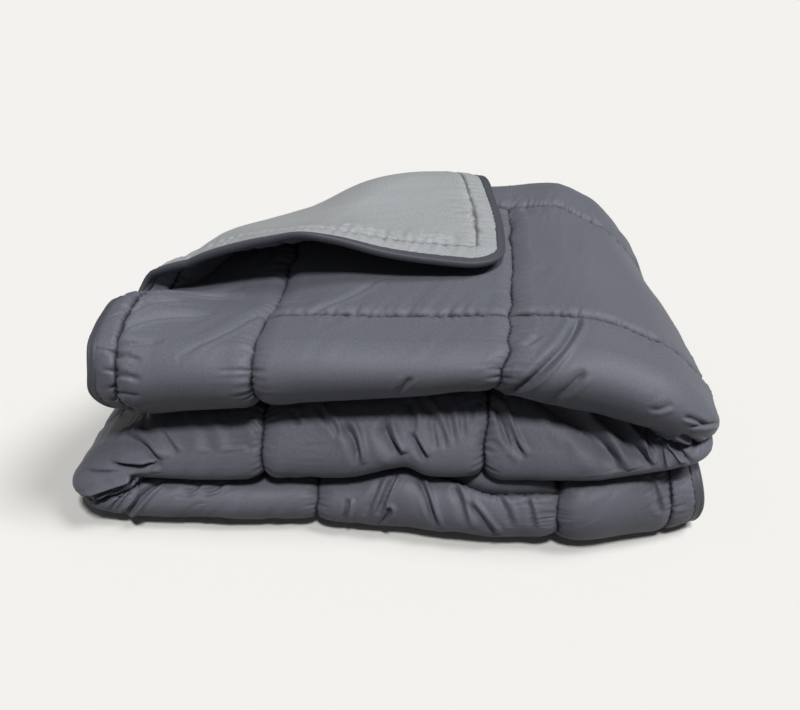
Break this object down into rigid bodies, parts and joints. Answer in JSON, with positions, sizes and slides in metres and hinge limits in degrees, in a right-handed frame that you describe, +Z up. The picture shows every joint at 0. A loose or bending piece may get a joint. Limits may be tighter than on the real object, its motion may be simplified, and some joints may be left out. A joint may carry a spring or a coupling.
{
  "type": "folded duvet",
  "caption": "Quilted two-colour duvet folded into a flat pile for storage, with one corner of the top leaf turned back to show the lighter side",
  "frame": {"origin": "the middle of the bounding box in plan, at the height of the surface that the duvet rests on", "axes": "+X along the folded strip, towards the open end of the bottom section; +Y towards the back, away from the fold edges that show; +Z up"},
  "size_m": [0.7174, 0.6662, 0.2952],
  "materials": {
    "face_fabric": "smooth charcoal brushed microfibre, satin in raking light",
    "reverse_fabric": "smooth light grey brushed microfibre",
    "binding_tape": "folded charcoal woven tape"
  },
  "bodies": {
    "root": {"quilted_body": "face_fabric", "binding": "binding_tape"}
  },
  "joints": []
}
